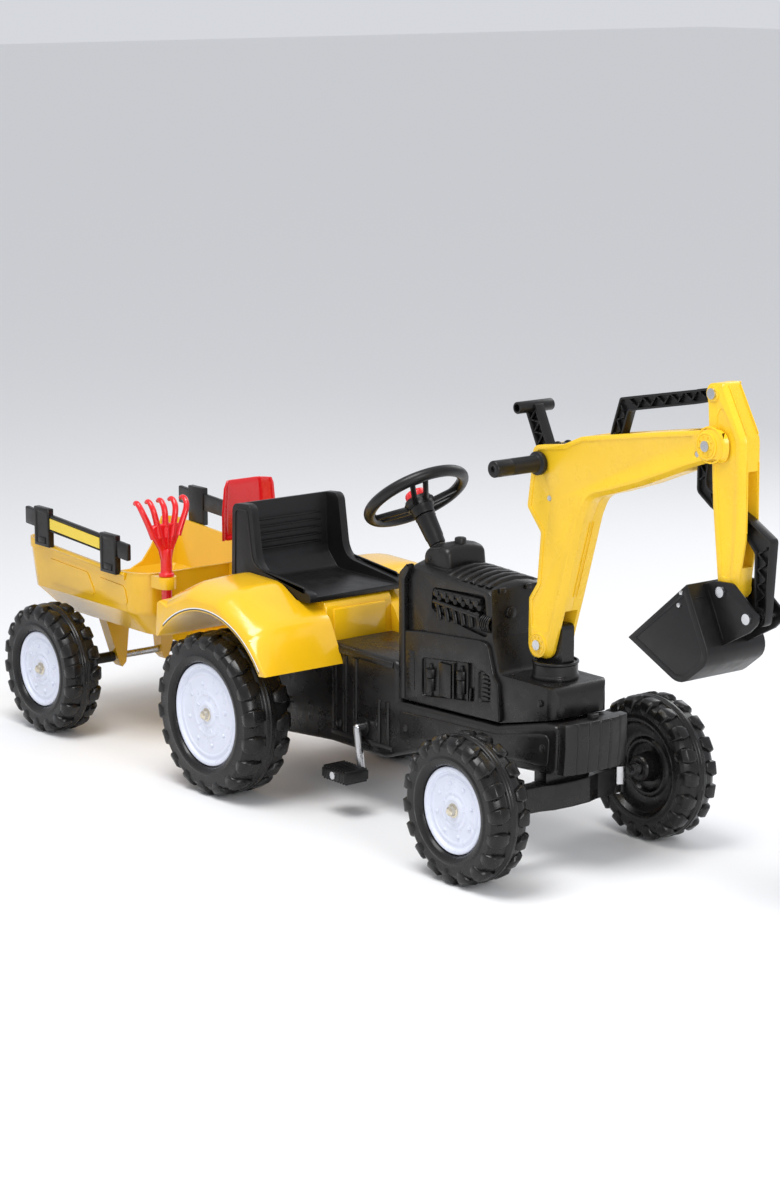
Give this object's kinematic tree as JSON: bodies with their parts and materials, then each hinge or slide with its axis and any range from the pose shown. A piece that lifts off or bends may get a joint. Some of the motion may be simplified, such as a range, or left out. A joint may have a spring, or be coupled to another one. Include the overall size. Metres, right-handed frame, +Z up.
{
  "type": "ride on digger",
  "caption": "Ride-on pedal digger: a steered pedal tractor with seat, jointed boom, stick and bucket on a turning post, towing a two-wheel trailer with tools.",
  "frame": {"origin": "on the ground, under the centre of the overall box", "axes": "+X forward towards the bucket, +Y to the rider's left, +Z up"},
  "size_m": [1.6397, 0.443, 0.7436],
  "materials": {
    "yellow_gloss": "deep yellow, glossy moulded",
    "yellow_arm": "bright yellow, smooth moulded",
    "yellow_plate": "plain yellow printed plate",
    "black_body": "blow-moulded, soft sheen",
    "black_part": "injection-moulded, soft sheen",
    "tyre_black": "hard moulded tyre, soft sheen",
    "disc_white": "cool white, smooth moulded",
    "red_plastic": "bright red, glossy",
    "steel": "plated steel bar",
    "zinc_bolts": "bright zinc plating",
    "nickel_dome": "polished cap nut"
  },
  "bodies": {
    "chassis": {"chassis_shell": "black_body", "hood_cover": "black_body", "bumper_grille": "black_body", "front_axle_beam": "black_body", "kingpins": "zinc_bolts", "seat_body": "yellow_gloss", "seat": "black_part", "axle_bushes": "black_part", "chain": "steel", "slew_ring": "black_body", "hitch_plate": "steel", "hitch_pin": "steel"},
    "rear_drive": {"rear_axle": "steel", "tyre_rear_left": "tyre_black", "tyre_rear_right": "tyre_black", "wheel_discs_rear": "disc_white", "hub_nuts_rear": "nickel_dome"},
    "crank": {"crank": "steel"},
    "pedal_right": {"pedal_right": "black_part"},
    "pedal_left": {"pedal_left": "black_part"},
    "steering": {"steering_shaft": "steel", "column_sleeve": "black_part", "steering_wheel": "black_part"},
    "horn": {"horn_button": "red_plastic"},
    "knuckle_right": {"knuckle_right": "steel", "hub_nut_front_right": "nickel_dome"},
    "knuckle_left": {"knuckle_left": "steel", "hub_nut_front_left": "nickel_dome"},
    "tie_rod": {"tie_rod": "black_part"},
    "front_wheel_right": {"tyre_front_right": "tyre_black", "wheel_disc_front_right": "disc_white"},
    "front_wheel_left": {"tyre_front_left": "tyre_black", "wheel_disc_front_left": "disc_white"},
    "turret": {"turret_post": "black_body"},
    "boom": {"boom_right": "yellow_arm", "boom_left": "yellow_arm", "boom_bolts": "zinc_bolts", "grip_tube": "black_part"},
    "stick": {"stick": "yellow_arm", "stick_bolts": "zinc_bolts"},
    "t_lever": {"t_lever": "black_part", "lever_pin": "zinc_bolts"},
    "top_link": {"top_link": "black_part"},
    "lower_link": {"lower_link": "black_part"},
    "bucket": {"bucket": "black_part", "bucket_bolt": "zinc_bolts"},
    "trailer": {"trailer_tub": "yellow_gloss", "holder_rings": "yellow_gloss", "trailer_axle": "steel", "axle_sleeves": "black_body", "hub_nuts_trailer": "nickel_dome", "side_rail_right": "black_body", "side_rail_left": "black_body", "rail_plates": "yellow_plate"},
    "trailer_wheel_right": {"tyre_trailer_right": "tyre_black", "wheel_disc_trailer_right": "disc_white"},
    "trailer_wheel_left": {"tyre_trailer_left": "tyre_black", "wheel_disc_trailer_left": "disc_white"},
    "rake": {"rake": "red_plastic"},
    "shovel": {"shovel": "red_plastic"}
  },
  "joints": [
    {"name": "slew", "type": "hinge", "parent": "chassis", "child": "turret", "pos_m": [0.3852, 0, 0.29], "axis": [0, 0, 1], "range_deg": [-45, 45]},
    {"name": "boom_lift", "type": "hinge", "parent": "turret", "child": "boom", "pos_m": [0.3742, 0, 0.321], "axis": [0, -1, 0], "range_deg": [-45, 12]},
    {"name": "stick_swing", "type": "hinge", "parent": "boom", "child": "stick", "pos_m": [0.7122, 0, 0.657], "axis": [0, -1, 0], "range_deg": [-20, 20]},
    {"name": "lever_swing", "type": "hinge", "parent": "boom", "child": "t_lever", "pos_m": [0.3942, 0, 0.54], "axis": [0, -1, 0], "range_deg": [-20, 20]},
    {"name": "top_link_turn", "type": "hinge", "parent": "t_lever", "child": "top_link", "pos_m": [0.3972, 0, 0.611], "axis": [0, -1, 0], "range_deg": [-20, 20]},
    {"name": "lower_link_turn", "type": "hinge", "parent": "boom", "child": "lower_link", "pos_m": [0.6932, 0, 0.643], "axis": [0, -1, 0], "range_deg": [-24, 24]},
    {"name": "bucket_curl", "type": "hinge", "parent": "stick", "child": "bucket", "pos_m": [0.7492, 0, 0.463], "axis": [0, -1, 0], "range_deg": [-14, 14]},
    {"name": "steering_turn", "type": "hinge", "parent": "chassis", "child": "steering", "pos_m": [0.3662, 0, 0.102], "axis": [-0.6132, 0, 0.7899], "range_deg": [-40, 40]},
    {"name": "horn_press", "type": "slide", "parent": "steering", "child": "horn", "axis": [0.6132, 0, -0.7899], "range_m": [0, 0.004], "stiffness_N_per_m": 400},
    {"name": "knuckle_turn_right", "type": "hinge", "parent": "chassis", "child": "knuckle_right", "pos_m": [0.4022, -0.112, 0.11], "axis": [0, 0, 1], "range_deg": [-16, 16]},
    {"name": "knuckle_turn_left", "type": "hinge", "parent": "chassis", "child": "knuckle_left", "pos_m": [0.4022, 0.112, 0.11], "axis": [0, 0, 1], "range_deg": [-16, 16]},
    {"name": "tie_rod_turn", "type": "hinge", "parent": "knuckle_right", "child": "tie_rod", "pos_m": [0.3402, -0.112, 0.096], "axis": [0, 0, 1], "range_deg": [-16, 16]},
    {"name": "front_wheel_spin_right", "type": "hinge", "parent": "knuckle_right", "child": "front_wheel_right", "pos_m": [0.4022, -0.183, 0.11], "axis": [0, 1, 0], "continuous": true},
    {"name": "front_wheel_spin_left", "type": "hinge", "parent": "knuckle_left", "child": "front_wheel_left", "pos_m": [0.4022, 0.183, 0.11], "axis": [0, 1, 0], "continuous": true},
    {"name": "rear_drive_spin", "type": "hinge", "parent": "chassis", "child": "rear_drive", "pos_m": [-0.1998, 0, 0.1305], "axis": [0, 1, 0], "continuous": true},
    {"name": "crank_spin", "type": "hinge", "parent": "chassis", "child": "crank", "pos_m": [0.0122, 0, 0.131], "axis": [0, 1, 0], "continuous": true},
    {"name": "pedal_turn_right", "type": "hinge", "parent": "crank", "child": "pedal_right", "pos_m": [0.0222, -0.107, 0.066], "axis": [0, 1, 0], "continuous": true},
    {"name": "pedal_turn_left", "type": "hinge", "parent": "crank", "child": "pedal_left", "pos_m": [0.0022, 0.107, 0.196], "axis": [0, 1, 0], "continuous": true},
    {"name": "hitch_turn", "type": "hinge", "parent": "chassis", "child": "trailer", "pos_m": [-0.3428, 0, 0.168], "axis": [0, 0, 1], "range_deg": [-18, 18]},
    {"name": "trailer_wheel_spin_right", "type": "hinge", "parent": "trailer", "child": "trailer_wheel_right", "pos_m": [-0.6978, -0.18, 0.11], "axis": [0, 1, 0], "continuous": true},
    {"name": "trailer_wheel_spin_left", "type": "hinge", "parent": "trailer", "child": "trailer_wheel_left", "pos_m": [-0.6978, 0.18, 0.11], "axis": [0, 1, 0], "continuous": true},
    {"name": "rake_lift", "type": "slide", "parent": "trailer", "child": "rake", "axis": [0, 0, 1], "range_m": [0, 0.08]},
    {"name": "shovel_lift", "type": "slide", "parent": "trailer", "child": "shovel", "axis": [0, 0, 1], "range_m": [0, 0.08]}
  ],
  "couplings": [
    {"joint": "lever_swing", "follows": "stick_swing", "ratio": 1},
    {"joint": "top_link_turn", "follows": "stick_swing", "ratio": -1},
    {"joint": "lower_link_turn", "follows": "stick_swing", "ratio": 1.156},
    {"joint": "bucket_curl", "follows": "stick_swing", "ratio": 0.667},
    {"joint": "knuckle_turn_right", "follows": "steering_turn", "ratio": 0.387},
    {"joint": "knuckle_turn_left", "follows": "steering_turn", "ratio": 0.387},
    {"joint": "tie_rod_turn", "follows": "steering_turn", "ratio": -0.387},
    {"joint": "crank_spin", "follows": "rear_drive_spin", "ratio": 1}
  ]
}
